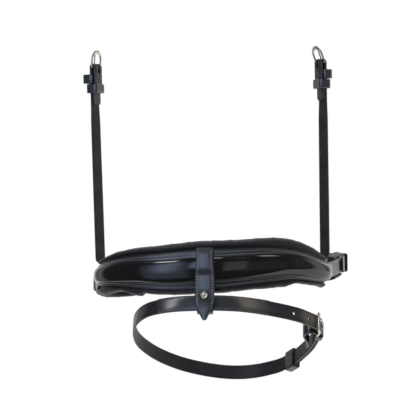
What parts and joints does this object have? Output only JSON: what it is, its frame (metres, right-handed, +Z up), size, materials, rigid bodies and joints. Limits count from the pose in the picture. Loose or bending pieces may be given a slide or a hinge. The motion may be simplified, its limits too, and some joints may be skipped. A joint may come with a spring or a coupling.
{
  "type": "dressage flash noseband",
  "caption": "Padded dressage noseband with cheek hangers and top buckles, and a flash strap carried in a front tab.",
  "frame": {"origin": "midway between the two top buckles, just above their bars, where the headpiece billets hang the noseband", "axes": "+Z up as worn, +Y towards the back of the horse's head, +X towards the horse's near side"},
  "size_m": [0.2617, 0.1895, 0.3386],
  "materials": {
    "black_leather": "semi-matt bridle leather",
    "patent_leather": "high-gloss patent",
    "soft_lining": "soft matt padded leather",
    "foam": "closed-cell foam",
    "silver_metal": "polished"
  },
  "bodies": {
    "nosepiece": {"nose_leather": "black_leather", "patent_panel": "patent_leather", "panel_filler": "foam", "nose_lining": "soft_lining", "chin_strap": "black_leather", "chin_chape": "black_leather", "chin_buckle_frame": "silver_metal", "chin_fixed_keeper": "black_leather", "flash_sling": "black_leather", "tab_stud": "silver_metal", "stud_backing": "silver_metal", "hanger_tail_left": "black_leather", "hanger_tail_right": "black_leather"},
    "tab": {"flash_tab": "black_leather"},
    "left_hanger": {"hanger_strap_left": "black_leather", "hanger_chape_left": "black_leather", "hanger_fixed_keeper_left": "black_leather"},
    "right_hanger": {"hanger_strap_right": "black_leather", "hanger_chape_right": "black_leather", "hanger_fixed_keeper_right": "black_leather"},
    "left_frame": {"hanger_buckle_frame_left": "silver_metal"},
    "right_frame": {"hanger_buckle_frame_right": "silver_metal"},
    "left_tongue": {"hanger_buckle_tongue_left": "silver_metal"},
    "right_tongue": {"hanger_buckle_tongue_right": "silver_metal"},
    "left_runner": {"hanger_runner_keeper_left": "black_leather"},
    "right_runner": {"hanger_runner_keeper_right": "black_leather"},
    "flash": {"flash_strap": "black_leather", "flash_facing": "black_leather", "flash_buckle_frame": "silver_metal", "flash_fixed_keeper": "black_leather"},
    "flash_tongue": {"flash_buckle_tongue": "silver_metal"},
    "flash_runner": {"flash_runner_keeper": "black_leather"},
    "chin_tongue": {"chin_buckle_tongue": "silver_metal"},
    "chin_runner": {"chin_runner_keeper": "black_leather"}
  },
  "joints": [
    {"name": "left_hanger_fold", "type": "hinge", "parent": "nosepiece", "child": "left_hanger", "pos_m": [-0.11402, 0.00001, -0.19102], "axis": [0.5592, 0.829, 0.0023], "range_deg": [-30, 45]},
    {"name": "right_hanger_fold", "type": "hinge", "parent": "nosepiece", "child": "right_hanger", "pos_m": [0.11214, 0.00003, -0.19102], "axis": [0.7071, -0.7071, -0.0023], "range_deg": [-30, 45]},
    {"name": "left_frame_swing", "type": "hinge", "parent": "left_hanger", "child": "left_frame", "pos_m": [-0.114, 0, -0.0018], "axis": [0.4067, 0.9135, 0], "range_deg": [-60, 30]},
    {"name": "right_frame_swing", "type": "hinge", "parent": "right_hanger", "child": "right_frame", "pos_m": [0.1121, 0, -0.0038], "axis": [0.5736, -0.8191, 0], "range_deg": [-60, 30]},
    {"name": "left_tongue_lift", "type": "hinge", "parent": "left_frame", "child": "left_tongue", "pos_m": [-0.114, 0, -0.0018], "axis": [-0.4067, -0.9135, 0], "range_deg": [0, 85]},
    {"name": "right_tongue_lift", "type": "hinge", "parent": "right_frame", "child": "right_tongue", "pos_m": [0.1121, 0, -0.0038], "axis": [-0.5736, 0.8191, 0], "range_deg": [0, 85]},
    {"name": "left_runner_slide", "type": "slide", "parent": "left_hanger", "child": "left_runner", "axis": [-0.012, 0.0053, 0.9999], "range_m": [-0.1, 0]},
    {"name": "right_runner_slide", "type": "slide", "parent": "right_hanger", "child": "right_runner", "axis": [0.0107, 0.0075, 0.9999], "range_m": [-0.1, 0]},
    {"name": "tab_lift", "type": "hinge", "parent": "nosepiece", "child": "tab", "pos_m": [0, -0.0766, -0.18402], "axis": [-1, 0, 0], "range_deg": [0, 55]},
    {"name": "flash_swing", "type": "hinge", "parent": "nosepiece", "child": "flash", "pos_m": [0, -0.081, -0.2369], "axis": [1, 0, 0], "range_deg": [-3, 3]},
    {"name": "flash_tongue_play", "type": "hinge", "parent": "flash", "child": "flash_tongue", "pos_m": [0.10317, -0.02698, -0.26562], "axis": [0, -0.4695, -0.8829], "range_deg": [0, 2]},
    {"name": "flash_runner_slide", "type": "slide", "parent": "flash", "child": "flash_runner", "axis": [-0.5932, 0.7108, -0.378], "range_m": [-0.002, 0.002]},
    {"name": "chin_tongue_play", "type": "hinge", "parent": "nosepiece", "child": "chin_tongue", "pos_m": [0.09707, 0.08381, -0.20574], "axis": [-0.0755, 0.0167, 0.997], "range_deg": [0, 2.5]},
    {"name": "chin_runner_slide", "type": "slide", "parent": "nosepiece", "child": "chin_runner", "axis": [0.8998, -0.4334, 0.0509], "range_m": [-0.002, 0.002]}
  ]
}
